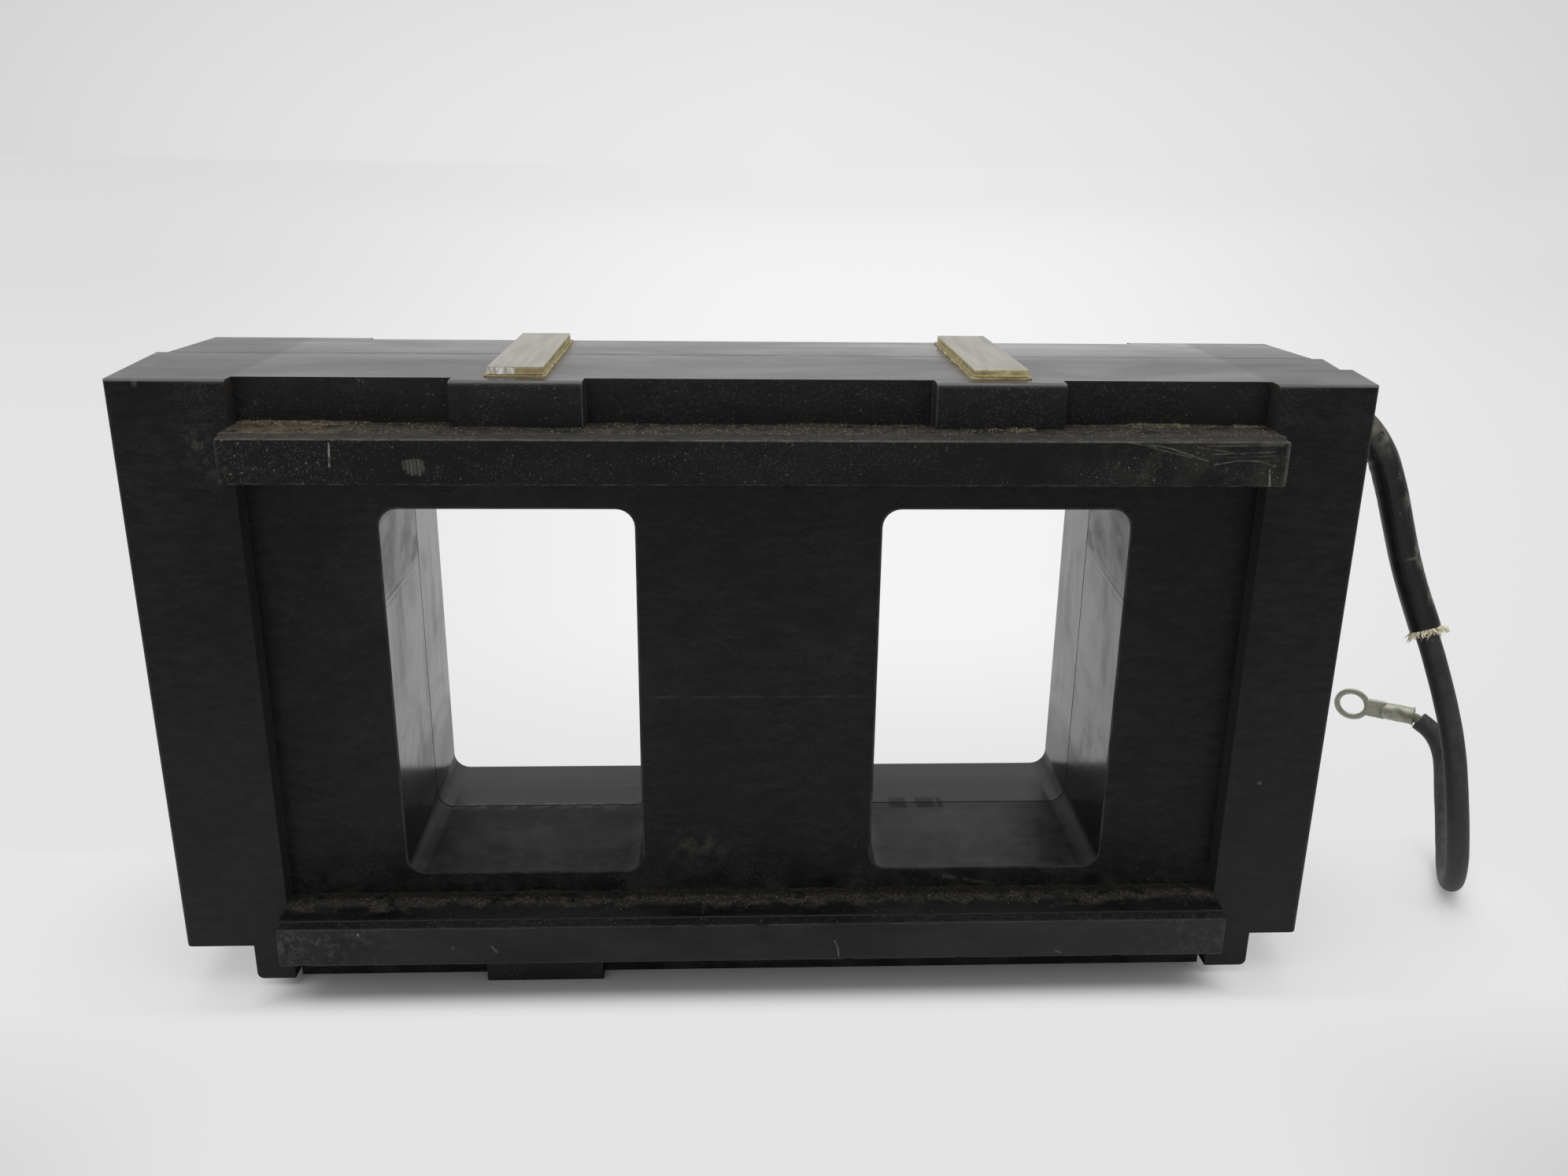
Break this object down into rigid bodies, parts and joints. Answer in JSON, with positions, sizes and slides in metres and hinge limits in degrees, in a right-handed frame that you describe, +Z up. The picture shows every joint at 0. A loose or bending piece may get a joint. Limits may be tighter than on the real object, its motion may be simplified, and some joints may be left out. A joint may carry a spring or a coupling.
{
  "type": "twin-window magnet coil block",
  "caption": "Moulded magnet coil block with rectangular core windows, front ledges with bars, top shim strips and a sleeved flying lead with ring terminal.",
  "frame": {"origin": "on the surface that the block stands on, under the middle of the block without its lead", "axes": "+X to the right along the length, +Y from the recessed front face to the back, +Z up"},
  "size_m": [0.3156, 0.092, 0.1356],
  "materials": {
    "moulding": "satin black moulded resin, dusty on the ledges",
    "bar": "worn grey-black laminate with light scratches",
    "shim": "satin grey-beige laminate with yellow cut edges",
    "bond": "yellowish adhesive film",
    "bobbin": "moulded phenolic",
    "copper": "enamelled copper wire",
    "wrap": "woven insulating tape",
    "potting": "cast compound",
    "lead_rubber": "black rubber insulation",
    "sleeve": "black varnished woven sleeving",
    "liner": "frayed glass yarn",
    "tin": "dull tinned copper"
  },
  "bodies": {
    "root": {"front_shell": "moulding", "rear_shell": "moulding", "upper_front_bar": "bar", "lower_front_bar": "bar", "left_shim_bond": "bond", "right_shim_bond": "bond", "left_shim_strip": "shim", "right_shim_strip": "shim", "left_bobbin": "bobbin", "right_bobbin": "bobbin", "left_winding": "copper", "right_winding": "copper", "left_winding_wrap": "wrap", "right_winding_wrap": "wrap", "left_potting": "potting", "right_potting": "potting", "coil_link": "copper", "start_tail": "copper", "finish_tail": "copper", "lead_splice": "tin", "lead_tail": "lead_rubber", "lead_bush": "lead_rubber", "lead_wire": "lead_rubber", "lead_sleeve": "sleeve", "sleeve_liner_end": "liner", "ring_terminal": "tin"}
  },
  "joints": []
}
